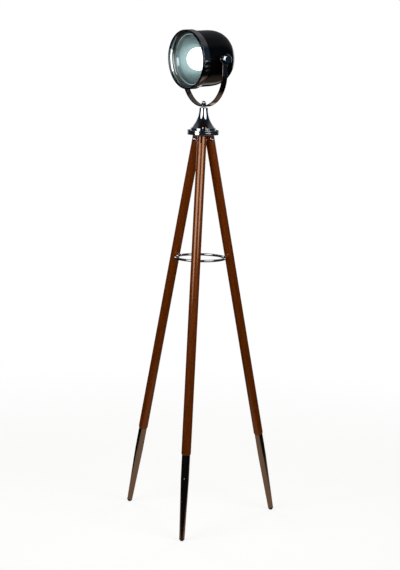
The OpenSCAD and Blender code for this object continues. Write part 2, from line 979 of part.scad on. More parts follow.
// Sheet metal cup that reaches a little way up the glass neck
module bulb_cap() {
    sheet = 0.6;
    color(chrome)
        at_head()
            difference() {
                translate([0, 0, cap_back + 3])
                    cylinder(r = cap_r, h = cap_l);
                translate([0, 0, cap_back + 3 + sheet])
                    cylinder(r = cap_r - sheet, h = cap_l);
            }
}

module bulb_insulator() {
    color("black")
        at_head()
            translate([0, 0, cap_back])
                cylinder(r1 = 5, r2 = cap_r - 1, h = 3);
}

// Hollow thread through the back of the housing
module gland_nipple() {
    color("goldenrod")
        at_head()
            tube(nipple_r, cord_r, -dome_l - 10, holder_back + 5);
}

module nipple_nut() {
    color("goldenrod")
        at_head()
            translate([0, 0, -dome_l + housing_wall + seat_gap])
                hex_nut(16, 3, nipple_r);
}

// Tapered gland for a mains lead, screwed on the nipple
module cable_gland() {
    color("black")
        at_head()
            difference() {
                translate([0, 0, -dome_l - gland_l])
                    cylinder(r1 = nipple_r + 1, r2 = gland_r, h = gland_l);
                translate([0, 0, -dome_l - 10])
                    cylinder(r = nipple_r, h = 12);
                translate([0, 0, -dome_l - gland_l - 1])
                    cylinder(r = cord_r, h = gland_l + 2);
            }
}

// Clamp knobs -----------------------------------------------------------------

// Turned disc on a neck, with a wide bevel round its face, bored for the stud
module knob(side) {
    edge = 1.5;
    bevel = 3;
    r = knob_d / 2;
    z0 = knob_neck;
    z1 = knob_neck + knob_t;
    color("dimgray")
        at_side(side)
            translate([0, 0, knob_in])
                difference() {
                    rotate_extrude()
                        polygon([[0, 0], [knob_neck_r, 0], [knob_neck_r, z0 - 2], [knob_neck_r + 2, z0],
                            [r - edge, z0], [r, z0 + edge], [r, z1 - bevel], [r - bevel, z1], [0, z1]]);
                    translate([0, 0, -1])
                        cylinder(r = stud_r + run_gap, h = tilt_stud_end - knob_in + 2);
                }
}

// The pieces in place -------------------------------------------------------

translate(stand_at) leg(0);  // front_leg
translate(stand_at) leg(1);  // right_leg
translate(stand_at) leg(2);  // left_leg
translate(stand_at) ferrule(0);  // front_ferrule
translate(stand_at) ferrule(1);  // right_ferrule
translate(stand_at) ferrule(2);  // left_ferrule
translate(stand_at) foot_tip(0);  // front_foot_tip
translate(stand_at) foot_tip(1);  // right_foot_tip
translate(stand_at) foot_tip(2);  // left_foot_tip
translate(stand_at) ferrule_screws();
translate(stand_at) hinge_bolts();
translate(stand_at) hinge_nuts();
translate(stand_at) hinge_washers();
translate(stand_at) brace_ring();
translate(stand_at) ring_sleeves();
translate(stand_at) ring_screws();
translate(stand_at) leg_hub();
translate(stand_at) hub_screws();
translate(stand_at) top_flange();
translate(stand_at) bell_cap();
translate(stand_at) centre_stud();
translate(stand_at) stud_nut();
translate(stand_at) stud_washer();
translate(stand_at) swivel_bush();
translate(stand_at) swivel_washer();
translate(stand_at) swivel_cap_nut();
translate(stand_at) yoke();
translate(stand_at) tilt_washer(1);  // right_tilt_washer
translate(stand_at) tilt_washer(-1);  // left_tilt_washer
translate(stand_at) housing();
translate(stand_at) pivot_boss(1);  // right_pivot_boss
translate(stand_at) pivot_boss(-1);  // left_pivot_boss
translate(stand_at) pivot_stud(1);  // right_pivot_stud
translate(stand_at) pivot_stud(-1);  // left_pivot_stud
translate(stand_at) pivot_nut(1);  // right_pivot_nut
translate(stand_at) pivot_nut(-1);  // left_pivot_nut
translate(stand_at) front_rim();
translate(stand_at) clamp_band();
translate(stand_at) clamp_screw();
translate(stand_at) clamp_nut();
translate(stand_at) lens();
translate(stand_at) lens_gasket();
translate(stand_at) reflector();
translate(stand_at) lamp_holder();
translate(stand_at) holder_contact();
translate(stand_at) bulb_glass();
translate(stand_at) bulb_cap();
translate(stand_at) bulb_insulator();
translate(stand_at) gland_nipple();
translate(stand_at) nipple_nut();
translate(stand_at) cable_gland();
translate(stand_at) knob(1);  // right_knob
translate(stand_at) knob(-1);  // left_knob
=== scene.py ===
"""A tripod spotlight floor lamp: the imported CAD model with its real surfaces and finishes."""

import json

import bmesh
import bpy
import numpy as np
from mathutils import Matrix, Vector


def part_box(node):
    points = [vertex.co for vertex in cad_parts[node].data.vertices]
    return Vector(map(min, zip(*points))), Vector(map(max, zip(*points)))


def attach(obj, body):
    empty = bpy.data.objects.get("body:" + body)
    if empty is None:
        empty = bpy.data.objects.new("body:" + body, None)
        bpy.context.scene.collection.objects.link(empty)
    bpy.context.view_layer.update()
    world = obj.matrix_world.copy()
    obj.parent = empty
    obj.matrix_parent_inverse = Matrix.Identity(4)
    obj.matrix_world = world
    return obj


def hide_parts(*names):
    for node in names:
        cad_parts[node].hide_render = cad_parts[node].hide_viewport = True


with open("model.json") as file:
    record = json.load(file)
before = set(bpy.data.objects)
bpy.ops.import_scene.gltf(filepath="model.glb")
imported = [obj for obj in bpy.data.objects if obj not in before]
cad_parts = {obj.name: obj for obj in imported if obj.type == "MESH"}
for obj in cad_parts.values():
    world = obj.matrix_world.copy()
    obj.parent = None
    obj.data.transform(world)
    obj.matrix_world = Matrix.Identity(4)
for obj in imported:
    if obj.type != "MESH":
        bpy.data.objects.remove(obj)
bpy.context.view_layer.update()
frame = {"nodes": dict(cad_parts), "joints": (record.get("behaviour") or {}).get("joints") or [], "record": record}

# Viewpoint ----------------------------------------------------------------------------
# A long lens 5.6 m away, 1.63 m above the floor, looks slightly down at the lamp.
# It stands 53 degrees round from where the head aims, on the head's right side.

mm = 0.001
joint_at = {joint["name"]: np.array(joint["pos_m"]) for joint in frame["joints"]}
stand_at = joint_at["yoke_swivel"] * (1, 1, 0)
eye_round = np.radians(52.6)
eye_away = 5.5947
eye_height = 1.6312
look_down = np.radians(8.7415)
look_right = np.radians(0.017)
look_roll = np.radians(1.35)
film_tall = 36.0
focal_length = 110.83


def turn(axis, angle):
    """4x4 matrix of a turn by an angle in radians about X, Y or Z."""
    return np.array(Matrix.Rotation(angle, 4, axis))


def shift(x, y, z):
    """4x4 matrix of a move."""
    return np.array(Matrix.Translation((x, y, z)))


eye_place = (
    shift(*stand_at) @ turn("Z", eye_round) @ shift(0.0, -eye_away, eye_height)
    @ turn("Z", -look_right) @ turn("X", np.pi / 2 - look_down) @ turn("Z", look_roll)
)
eye_lens = bpy.data.cameras.new("viewpoint")
eye_lens.sensor_fit = "VERTICAL"
eye_lens.sensor_height = film_tall
eye_lens.lens = focal_length
eye = bpy.data.objects.new("viewpoint", eye_lens)
eye.matrix_world = Matrix(eye_place.tolist())
bpy.context.collection.objects.link(eye)
bpy.context.scene.camera = eye
bpy.context.scene.view_settings.view_transform = "Standard"

# Studio -------------------------------------------------------------------------------
# A pale floor that runs off into white, an oval softbox on either side of the camera
# and two weaker ones behind, and dark drapes, glowing with painted room light, that only reflections see.


def linear(hex_colour):
    """Linear RGBA of an sRGB hex colour such as "#8a7a70"."""
    srgb = np.array([int(hex_colour[i:i + 2], 16) for i in (1, 3, 5)]) / 255
    low = srgb / 12.92
    high = ((srgb + 0.055) / 1.055) ** 2.4
    return (*np.where(srgb <= 0.04045, low, high).tolist(), 1.0)


def add(tree, kind, inputs=None, **settings):
    """Adds a node, sets its properties, and gives each input a value or another node's output."""
    new = tree.nodes.new(kind)
    for name, value in settings.items():
        setattr(new, name, value)
    for name, value in (inputs or {}).items():
        if isinstance(value, bpy.types.NodeSocket):
            tree.links.new(value, new.inputs[name])
        else:
            new.inputs[name].default_value = value
    return new


def empty_material(name):
    """A material with an empty node tree, and that tree."""
    material = bpy.data.materials.new(name)
    material.use_nodes = True
    material.node_tree.nodes.clear()
    return material, material.node_tree


merge_within = 0.002 * mm


def grid_mesh(name, points, close_rows=False, close_columns=False):
    """Mesh of quads over points[row, column], joined into rings where asked.

    Doubles are merged and faces turned out."""
    rows, columns = points.shape[:2]
    index = np.arange(rows * columns).reshape(rows, columns)
    if close_rows:
        index = np.vstack([index, index[:1]])
    if close_columns:
        index = np.hstack([index, index[:, :1]])
    quads = np.stack([index[:-1, :-1], index[1:, :-1], index[1:, 1:], index[:-1, 1:]], axis=-1)
    mesh = bpy.data.meshes.new(name)
    mesh.from_pydata(points.reshape(-1, 3).tolist(), [], quads.reshape(-1, 4).tolist())
    work = bmesh.new()
    work.from_mesh(mesh)
    bmesh.ops.remove_doubles(work, verts=work.verts, dist=merge_within)
    bmesh.ops.dissolve_degenerate(work, edges=work.edges, dist=merge_within / 2)
    bmesh.ops.recalc_face_normals(work, faces=work.faces)
    work.to_mesh(mesh)
    work.free()
    return mesh


def stage_piece(name, mesh, material):
    """A studio surface that isn't part of the lamp."""
    surface = bpy.data.objects.new(name, mesh)
    bpy.context.collection.objects.link(surface)
    mesh.materials.append(material)
    return surface


def shown_plainly(tree):
    """1 for what the camera sees, also in a mirror or through glass, and 0 for light on a surface."""
    rays = add(tree, "ShaderNodeLightPath").outputs
    seen = add(tree, "ShaderNodeMath", {
        0: rays["Is Camera Ray"], 1: rays["Is Glossy Ray"],
    }, operation="MAXIMUM")
    return add(tree, "ShaderNodeMath", {
        0: seen.outputs[0], 1: rays["Is Transmission Ray"],
    }, operation="MAXIMUM").outputs[0]


plain_white = linear("#ffffff")
floor_half = 14.0
white_from = 0.7
white_by = 2.6
floor_lift = 0.76
floor_x, floor_y = np.meshgrid([-floor_half, floor_half], [-floor_half, floor_half], indexing="ij")
floor_grid = np.stack([floor_x, floor_y, np.zeros((2, 2))], axis=-1)
floor_finish, tree = empty_material("matt white floor")
seat = add(tree, "ShaderNodeTexCoord").outputs["Object"]
from_lamp = add(tree, "ShaderNodeVectorMath", {0: seat, 1: (*stand_at[:2], 0.0)}, operation="DISTANCE")
far_share = add(tree, "ShaderNodeMapRange", {
    "Value": from_lamp.outputs["Value"], "From Min": white_from, "From Max": white_by,
}, interpolation_type="SMOOTHSTEP")
# paper that takes the lamp's shadow near its feet and is plain white further off
seen = shown_plainly(tree)
glow = add(tree, "ShaderNodeMath", {0: seen, 1: floor_lift}, operation="MULTIPLY")
matt = add(tree, "ShaderNodeBsdfDiffuse", {"Color": linear("#b4b3b1")})
lift = add(tree, "ShaderNodeEmission", {"Color": plain_white, "Strength": glow.outputs[0]})
near = add(tree, "ShaderNodeAddShader", {0: matt.outputs[0], 1: lift.outputs[0]})
white = add(tree, "ShaderNodeEmission", {"Color": plain_white, "Strength": 1.0})
to_white = add(tree, "ShaderNodeMath", {0: far_share.outputs["Result"], 1: seen}, operation="MULTIPLY")
both = add(tree, "ShaderNodeMixShader", {0: to_white.outputs[0], 1: near.outputs[0], 2: white.outputs[0]})
add(tree, "ShaderNodeOutputMaterial", {"Surface": both.outputs[0]})
stage_piece("floor", grid_mesh("floor", floor_grid), floor_finish)

room_light = 0.16
world = bpy.data.worlds.new("white studio")
bpy.context.scene.world = world
world.use_nodes = True
tree = world.node_tree
tree.nodes.clear()
strength = add(tree, "ShaderNodeMapRange", {
    "Value": shown_plainly(tree), "To Min": room_light, "To Max": 1.0,
})
sky = add(tree, "ShaderNodeBackground", {"Color": plain_white, "Strength": strength.outputs["Result"]})
add(tree, "ShaderNodeOutputWorld", {"Surface": sky.outputs[0]})

# Cloth hangs in a dome round the lamp and lies on the floor out to it. Its colours are
# painted room light: it glows with them and takes no light, and only reflections see it.
# The formula is a radius turned about Z: from the lamp to the dome flat, then raised from
# floor to pole.
drape_radius = 3.4
cloth_hole = 0.01
cloth_lift = 1.5 * mm
drape_turns = np.linspace(0, 2 * np.pi, 96, endpoint=False)[:, None]
drape_rise = np.linspace(0, np.pi / 2, 33)[None, :]
drape_grid = drape_radius * np.stack([
    np.cos(drape_rise) * np.sin(drape_turns), -np.cos(drape_rise) * np.cos(drape_turns),
    np.sin(drape_rise) + 0 * drape_turns,
], axis=-1)
cloth_out = np.linspace(cloth_hole, drape_radius, 9)[None, :]
floor_cloth_grid = np.stack([
    cloth_out * np.sin(drape_turns), -cloth_out * np.cos(drape_turns),
    cloth_lift + 0 * cloth_out * drape_turns,
], axis=-1)
drape_grid = np.concatenate([floor_cloth_grid, drape_grid], axis=1) + stand_at
drape_finish, tree = empty_material("drapes glowing painted room light")
seat = add(tree, "ShaderNodeTexCoord").outputs["Object"]
flat_seat = add(tree, "ShaderNodeVectorMath", {
    0: seat, 1: (1.0, 1.0, 0.0),
}, operation="MULTIPLY").outputs[0]
black_glow = "#0b0b0d"
cloth = linear(black_glow)
# painted reflected light on the floor cloth: two brown patches, under the lamp and behind
# it, and a pale one further off: each has a place from the stand, a radius, the width of
# its faded border, and a glowing colour
for mat_x, mat_y, mat_radius, mat_fade, mat_glow_colour in (
    (0.0, 0.0, 0.6, 0.14, "#8c7663"),
    (0.0, 1.15, 0.2, 0.65, "#7d6c60"),
    (-1.1, 1.5, 0.25, 0.35, "#e3d9d5"),
):
    from_middle = add(tree, "ShaderNodeVectorMath", {
        0: flat_seat, 1: (stand_at[0] + mat_x, stand_at[1] + mat_y, 0.0),
    }, operation="DISTANCE")
    share = add(tree, "ShaderNodeMapRange", {
        "Value": from_middle.outputs["Value"], "From Min": mat_radius, "From Max": mat_radius + mat_fade,
        "To Min": 1.0, "To Max": 0.0,
    }, interpolation_type="SMOOTHSTEP")
    cloth = add(tree, "ShaderNodeMix", {
        "Factor": share.outputs["Result"], "A": cloth, "B": linear(mat_glow_colour),
    }, data_type="RGBA").outputs["Result"]
# painted reflected light: black low down, blue-grey at lamp height, grey above the back and
# brown-black above the front: each glowing colour comes in between two heights, along an
# axis that leans to the camera
for cloth_from, cloth_to, lean, glow_colour in (
    (0.05, 0.1, 0, black_glow),
    (0.55, 1.2, 0, "#1d2935"),
    (2.35, 3.0, -25, "#67686c"),
    (2.95, 3.28, 10, "#1f1613"),
):
    up = turn("Z", eye_round) @ turn("X", np.radians(lean)) @ np.array([0, 0, 1, 0])
    height = add(tree, "ShaderNodeVectorMath", {0: seat, 1: up[:3].tolist()}, operation="DOT_PRODUCT")
    share = add(tree, "ShaderNodeMapRange", {
        "Value": height.outputs["Value"], "From Min": cloth_from, "From Max": cloth_to,
    }, interpolation_type="SMOOTHSTEP")
    cloth = add(tree, "ShaderNodeMix", {
        "Factor": share.outputs["Result"], "A": cloth, "B": linear(glow_colour),
    }, data_type="RGBA").outputs["Result"]
# the drapes glow with these colours at one strength and take no light: painted room light, seen only in
# reflections
shade = add(tree, "ShaderNodeEmission", {"Color": cloth, "Strength": 1.0})
add(tree, "ShaderNodeOutputMaterial", {"Surface": shade.outputs[0]})
drapes = stage_piece("drapes", grid_mesh("drapes", drape_grid, close_rows=True), drape_finish)
drapes.visible_camera = False
drapes.visible_diffuse = False
drapes.visible_transmission = False
drapes.visible_shadow = False


def softbox(name, from_eye, away, centre_z, width, tall, radiance):
    """An oval lamp that faces the stand's axis, of one radiance all over.

    from_eye is its bearing from the camera's side, in degrees to the right. The energy is
    radiance * pi * the oval's area."""
    lamp = bpy.data.lights.new(name, "AREA")
    lamp.shape = "ELLIPSE"
    lamp.size = width
    lamp.size_y = tall
    lamp.energy = radiance * np.pi * (np.pi / 4 * width * tall)
    holder = bpy.data.objects.new(name, lamp)
    bearing = eye_round + np.radians(from_eye)
    place = shift(*stand_at) @ turn("Z", bearing) @ shift(0, -away, centre_z) @ turn("X", np.pi / 2)
    holder.matrix_world = Matrix(place.tolist())
    holder.visible_camera = False
    bpy.context.collection.objects.link(holder)


# bearing, distance from the stand, height, width, tallness and radiance, in metres and degrees
softbox("left softbox", -44.5, 1.65, 1.755, 1.45, 1.4, 3.1)
softbox("right softbox", 41, 1.65, 1.88, 1.5, 1.4, 3.1)
softbox("back left softbox", -150, 2.8, 2.1, 1.35, 2.25, 1.5)
softbox("back right softbox", 150, 2.8, 2.1, 1.35, 2.25, 1.5)

# Legs ---------------------------------------------------------------------------------
# Three turned hardwood rods, slotted at the top for the hub's tongues and turned
# down at the bottom for the ferrules. Stained red-brown, sanded and lacquered.

body_of_node = {
    node: body for body, nodes in frame["record"]["behaviour"]["bodies"].items() for node in nodes
}


def finished(name, mesh, material, nodes, sharp=40):
    """A piece made of a mesh, smooth up to a sharp angle in degrees, that stands for CAD nodes.

    It rides on their body, sits at the origin and has its place in its mesh."""
    mesh.materials.clear()
    mesh.materials.append(material)
    mesh.shade_smooth()
    mesh.set_sharp_from_angle(angle=np.radians(sharp))
    piece = bpy.data.objects.new(name, mesh)
    bpy.context.collection.objects.link(piece)
    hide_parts(*nodes)
    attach(piece, body_of_node[nodes[0]])
    return piece


def machined(node, material, edge=0.3, segments=2, sharp=30):
    """The CAD node's own shape, its triangles merged and its sharp edges eased by edge millimetres."""
    mesh = frame["nodes"][node].data.copy()
    mesh.name = node + "_shape"
    work = bmesh.new()
    work.from_mesh(mesh)
    bmesh.ops.remove_doubles(work, verts=work.verts, dist=merge_within)
    bmesh.ops.dissolve_limit(work, angle_limit=np.radians(0.2), verts=work.verts, edges=work.edges)
    work.to_mesh(mesh)
    work.free()
    piece = finished(node + "_piece", mesh, material, [node], sharp)
    if edge:
        bevel = piece.modifiers.new("eased edges", "BEVEL")
        bevel.width = edge * mm
        bevel.segments = segments
        bevel.limit_method = "ANGLE"
        bevel.angle_limit = np.radians(sharp)
        # the wide faces keep their own shading and the narrow bevels take the blend
        even = piece.modifiers.new("even shading", "WEIGHTED_NORMAL")
        even.keep_sharp = True
        even.weight = 80
    return piece


hinge_height = 1240.0 * mm
hinge_out = 24.826 * mm
foot_out = 278.0 * mm
splay = np.arctan((foot_out - hinge_out) / hinge_height)
leg_names = ("front", "right", "left")
leg_bearing = np.radians([45.0, 165.0, 285.0])
leg_place = [
    shift(*stand_at) @ turn("Z", bearing) @ shift(0, -hinge_out, hinge_height) @ turn("X", -splay)
    for bearing in leg_bearing
]


def per(size):
    """Noise scale at which one lump is size millimetres wide."""
    return 1 / (size * mm)


def own_seat(tree, place):
    """Object coordinates turned and moved into a piece's own frame."""
    seat = add(tree, "ShaderNodeTexCoord").outputs["Object"]
    origin = Matrix(place.tolist())
    return add(tree, "ShaderNodeMapping", {
        "Vector": seat, "Location": origin.to_translation(), "Rotation": origin.to_euler("XYZ"),
    }, vector_type="TEXTURE").outputs[0]


def stained_wood(name, place, seed):
    """Lacquered red-brown hardwood with its grain along a leg.

    To the eye it is a deep warm brown with long fibres, wide growth bands and short dark
    pores, under a gloss that draws each softbox as a soft stripe down the rod."""
    material, tree = empty_material(name)
    own = own_seat(tree, place)
    # growth bands 9 mm wide that wander along the leg
    band_at = add(tree, "ShaderNodeMapping", {
        "Vector": own, "Location": (seed, 2 * seed, 3 * seed), "Scale": (per(9.09), per(9.09), per(333.3)),
    })
    bands = add(tree, "ShaderNodeTexNoise", {
        "Vector": band_at.outputs[0], "Scale": 1.0, "Detail": 3.0, "Roughness": 0.55, "Distortion": 0.4,
    })
    # fibres 1.4 mm wide and 62 mm long
    fibre_at = add(tree, "ShaderNodeMapping", {
        "Vector": own, "Location": (seed, seed, seed), "Scale": (per(1.429), per(1.429), per(62.5)),
    })
    fibres = add(tree, "ShaderNodeTexNoise", {
        "Vector": fibre_at.outputs[0], "Scale": 1.0, "Detail": 4.0, "Roughness": 0.6,
    })
    # pores are 0.3 mm wide, and drawn 0.7 mm wide so that they show
    pore_at = add(tree, "ShaderNodeMapping", {
        "Vector": own, "Scale": (per(0.6667), per(0.6667), per(16.67)),
    })
    pores = add(tree, "ShaderNodeTexNoise", {"Vector": pore_at.outputs[0], "Scale": 1.0, "Detail": 1.0})
    pore_share = add(tree, "ShaderNodeMapRange", {
        "Value": pores.outputs["Fac"], "From Min": 0.60, "From Max": 0.72,
    })
    band_share = add(tree, "ShaderNodeMapRange", {
        "Value": bands.outputs["Fac"], "From Min": 0.32, "From Max": 0.68,
    })
    fibre_share = add(tree, "ShaderNodeMapRange", {
        "Value": fibres.outputs["Fac"], "From Min": 0.3, "From Max": 0.7,
    })
    stain = add(tree, "ShaderNodeMix", {
        "Factor": band_share.outputs["Result"], "A": linear("#4c1b01"), "B": linear("#7c3306"),
    }, data_type="RGBA")
    stain = add(tree, "ShaderNodeMix", {
        "Factor": fibre_share.outputs["Result"], "A": stain.outputs["Result"], "B": linear("#8e430b"),
    }, data_type="RGBA")
    dark = add(tree, "ShaderNodeMix", {
        "Factor": pore_share.outputs["Result"], "A": stain.outputs["Result"], "B": linear("#280c02"),
    }, data_type="RGBA")
    gloss = add(tree, "ShaderNodeMapRange", {
        "Value": fibres.outputs["Fac"], "To Min": 0.1, "To Max": 0.2,
    })
    raised = add(tree, "ShaderNodeBump", {
        "Height": fibres.outputs["Fac"], "Strength": 0.25, "Distance": 0.15 * mm,
    })
    wood = add(tree, "ShaderNodeBsdfPrincipled", {
        "Base Color": dark.outputs["Result"], "Roughness": gloss.outputs["Result"], "IOR": 1.6,
        "Specular IOR Level": 1.0, "Specular Tint": linear("#ffcb9f"), "Normal": raised.outputs[0],
        "Coat Weight": 0.3, "Coat Roughness": 0.12,
    })
    add(tree, "ShaderNodeOutputMaterial", {"Surface": wood.outputs[0]})
    return material


for number, leg_name in enumerate(leg_names):
    wood = stained_wood(f"stained hardwood, {leg_name} leg", leg_place[number], 3.1 * number)
    machined(leg_name + "_leg", wood, edge=0.5)

# Ferrules -----------------------------------------------------------------------------
# Long sockets turned from brass bar, straight under the wood and tapered to the
# tip, with a smoky black-nickel plate that reflects the room as brown-grey.


def plated(name, colour, roughness, haze=0.04, seed=0.0):
    """Plated metal of an even tint, whose mirror is a little hazier in places.

    The roughness drifts by haze with handling marks 15 mm wide, and marks from polishing,
    drawn 1.1 mm wide so that they show, break the mirror up faintly."""
    material, tree = empty_material(name)
    seat = add(tree, "ShaderNodeTexCoord").outputs["Object"]
    drift = add(tree, "ShaderNodeTexNoise", {
        "Vector": seat, "Scale": per(15.385), "Detail": 3.0, "W": seed,
    }, noise_dimensions="4D")
    rough = add(tree, "ShaderNodeMapRange", {
        "Value": drift.outputs["Fac"], "From Min": 0.35, "From Max": 0.75,
        "To Min": roughness, "To Max": roughness + haze,
    })
    marks = add(tree, "ShaderNodeTexNoise", {
        "Vector": seat, "Scale": per(1.111), "Detail": 2.0, "W": seed,
    }, noise_dimensions="4D")
    polish = add(tree, "ShaderNodeBump", {
        "Height": marks.outputs["Fac"], "Strength": 0.04, "Distance": 0.02 * mm,
    })
    metal = add(tree, "ShaderNodeBsdfPrincipled", {
        "Base Color": linear(colour), "Metallic": 1.0,
        "Roughness": rough.outputs["Result"], "Normal": polish.outputs[0],
    })
    add(tree, "ShaderNodeOutputMaterial", {"Surface": metal.outputs[0]})
    return material


ferrule_plate = plated("polished black nickel plate on brass", "#b3a89f", 0.14, seed=1.0)
for leg_name in leg_names:
    machined(leg_name + "_ferrule", ferrule_plate, edge=0.4)
machined("ferrule_screws", ferrule_plate, edge=0.1)

# Foot tips ----------------------------------------------------------------------------
# Moulded rubber plugs pushed into the ferrules, cut to stand flat on the floor. They
# look matt and nearly black, with a grain 0.7 mm wide from the mould.

rubber_finish, tree = empty_material("moulded black rubber")
seat = add(tree, "ShaderNodeTexCoord").outputs["Object"]
grain = add(tree, "ShaderNodeTexNoise", {"Vector": seat, "Scale": per(0.7143), "Detail": 2.0})
dust = add(tree, "ShaderNodeMix", {
    "Factor": grain.outputs["Fac"], "A": linear("#101010"), "B": linear("#232221"),
}, data_type="RGBA")
pitted = add(tree, "ShaderNodeBump", {
    "Height": grain.outputs["Fac"], "Strength": 0.3, "Distance": 0.1 * mm,
})
rubber = add(tree, "ShaderNodeBsdfPrincipled", {
    "Base Color": dust.outputs["Result"], "Roughness": 0.75, "IOR": 1.52, "Normal": pitted.outputs[0],
})
add(tree, "ShaderNodeOutputMaterial", {"Surface": rubber.outputs[0]})
for leg_name in leg_names:
    machined(leg_name + "_foot_tip", rubber_finish, edge=0.4)

# Hub, flange and leg bolts ------------------------------------------------------------
# Machined steel plates and standard fasteners, all bright chrome plated, which shows
# the dark drapes as blue-black with white patches of the softboxes. The hub's tongues
# sit in the leg slots and the domed bolts pinch the wood on them.

chrome = plated("bright chrome plate on steel", "#c9cacc", 0.05, seed=2.0)
for node in ("leg_hub", "top_flange"):
    machined(node, chrome, edge=0.5, segments=3)
for node in (
    "hinge_bolts", "hinge_nuts", "hinge_washers", "hub_screws", "stud_nut", "stud_washer", "centre_stud",
):
    machined(node, chrome, edge=0.15)

# Bell cap -----------------------------------------------------------------------------
# Spun from brass sheet over a former and chromed: a slim neck that flares out to a
# stepped foot on the flange. The curve takes long bright reflections.

bell_base, bell_crown = (corner[2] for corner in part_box("bell_cap"))
bell_height = (bell_crown - bell_base) / mm
bell_foot = 40.0
bell_foot_in = 37.5
bell_foot_tall = 6.5
bell_step = 2.8
bell_neck = 13.7
bell_neck_tall = 2.5
bell_bore = 4.0
bell_wall = 2.5


def rounded(corners, steps=5):
    """Outline through (radius, height, fillet) corners in millimetres.

    At a fillet the corner gives way to an arc that is tangent to both sides. It starts
    fillet / tan(half the inner angle) from the corner, its points are turned evenly about
    its centre, and one more point past each end holds the flat sides flat."""
    hold = 0.15
    corners = np.asarray(corners, dtype=float)
    outline = [corners[0, :2]]
    for before, here, after in zip(corners[:-2], corners[1:-1], corners[2:]):
        point, fillet = here[:2], here[2]
        if fillet <= 0:
            outline.append(point)
            continue
        to_before = (before[:2] - point) / np.linalg.norm(before[:2] - point)
        to_after = (after[:2] - point) / np.linalg.norm(after[:2] - point)
        half = np.arccos(np.clip(to_before @ to_after, -1, 1)) / 2
        inward = (to_before + to_after) / np.linalg.norm(to_before + to_after)
        centre = point + inward * fillet / np.sin(half)
        start = point + to_before * fillet / np.tan(half) - centre
        end = point + to_after * fillet / np.tan(half) - centre
        share = np.linspace(0, 1, steps + 1)[:, None]
        swing = np.arccos(np.clip(start @ end / fillet ** 2, -1, 1))
        arc = (np.sin((1 - share) * swing) * start + np.sin(share * swing) * end) / np.sin(swing)
        outline.append(point + to_before * fillet * (1 / np.tan(half) + hold))
        outline.extend(centre + arc)
        outline.append(point + to_after * fillet * (1 / np.tan(half) + hold))
    outline.append(corners[-1, :2])
    return np.array(outline)


def turned(name, outline, place, turns=128, close_outline=False):
    """Surface of revolution of an outline of (radius, height) in millimetres.

    Point (k, j) is outline[j] turned by 360 * k / turns degrees about local Z, then moved
    by place."""
    angle = np.linspace(0, 2 * np.pi, turns, endpoint=False)[:, None]
    radius, height = outline[:, 0][None, :] * mm, outline[:, 1][None, :] * mm
    points = np.stack([radius * np.cos(angle), radius * np.sin(angle), height + 0 * angle], axis=-1)
    points = points @ place[:3, :3].T + place[:3, 3]
    return grid_mesh(name, points, close_rows=True, close_columns=close_outline)


# from foot to neck the radius falls with the square of the share of the height left
flare_share = np.linspace(1, 0, 40)
flare_radius = bell_neck + (bell_foot - bell_step - bell_neck) * flare_share ** 2
flare_height = bell_foot_tall + (bell_height - bell_foot_tall - bell_neck_tall) * (1 - flare_share)
bell_side = np.stack([flare_radius, flare_height], axis=1)
bell_foot_edge = rounded([
    (bell_foot_in, 0, 0), (bell_foot, 0, 0.6), (bell_foot, bell_foot_tall, 0.9), (*bell_side[0], 0),
])
bell_top = rounded([
    (bell_neck, bell_height - 3.0, 0), (bell_neck, bell_height, 2.4), (bell_bore, bell_height, 0),
], steps=8)
bell_inner = (bell_side - [bell_wall, 2.0])[::-1]
bell_outline = np.vstack([
    bell_foot_edge, bell_side[1:-1], bell_top,
    [(bell_bore, bell_height - 2 * bell_wall)], bell_inner[3:], [(bell_foot_in, 4.0)],
])
bell = turned("bell_cap", bell_outline, shift(*stand_at[:2], bell_base), close_outline=True)
finished("bell_cap_piece", bell, chrome, ["bell_cap"])

# Brace ring ---------------------------------------------------------------------------
# An 8 mm steel rod rolled to a ring, butt-welded and chromed, held off each leg by
# a short sleeve and a domed screw driven from inside.

ring_height = 860.0 * mm
rod_radius = 4.0
sleeve_long = 3.0
leg_radius = 15.0
leg_axis = (hinge_out + (hinge_height - ring_height) * np.tan(splay)) / mm
ring_radius = leg_axis - leg_radius / np.cos(splay) - sleeve_long - rod_radius
rod_angle = np.linspace(0, 2 * np.pi, 32, endpoint=False)
rod_outline = rod_radius * np.stack([np.cos(rod_angle), np.sin(rod_angle)], axis=1) + [ring_radius, 0]
ring = turned("brace_ring", rod_outline, shift(*stand_at[:2], ring_height), close_outline=True)
finished("brace_ring_piece", ring, chrome, ["brace_ring"])
machined("ring_sleeves", chrome, edge=0)
machined("ring_screws", chrome, edge=0.1)

# Yoke ---------------------------------------------------------------------------------
# One flat steel strip, 20 by 4 mm, rolled to a half ring with straight arms whose
# ends are rounded. Its warm smoky nickel plate shows the room brown-grey.

yoke_inner = 102.0
yoke_thick = 4.0
yoke_wide = 20.0
yoke_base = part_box("yoke")[0][2]
yoke_bend = np.array([*stand_at[:2], yoke_base + (yoke_inner + yoke_thick) * mm])
pivot_height = joint_at["head_tilt"][2]
arm_length = (pivot_height - yoke_bend[2]) / mm
strip_round = 0.8


def strip_section():
    """Closed section of the strip, a rectangle with rounded corners, in millimetres.

    Its columns are across the strip's width and through its thickness."""
    half_w, half_t = yoke_wide / 2, yoke_thick / 2
    return rounded([
        (half_w, 0, 0), (half_w, half_t, strip_round), (-half_w, half_t, strip_round),
        (-half_w, -half_t, strip_round), (half_w, -half_t, strip_round), (half_w, 0, 0),
    ])[:-1]


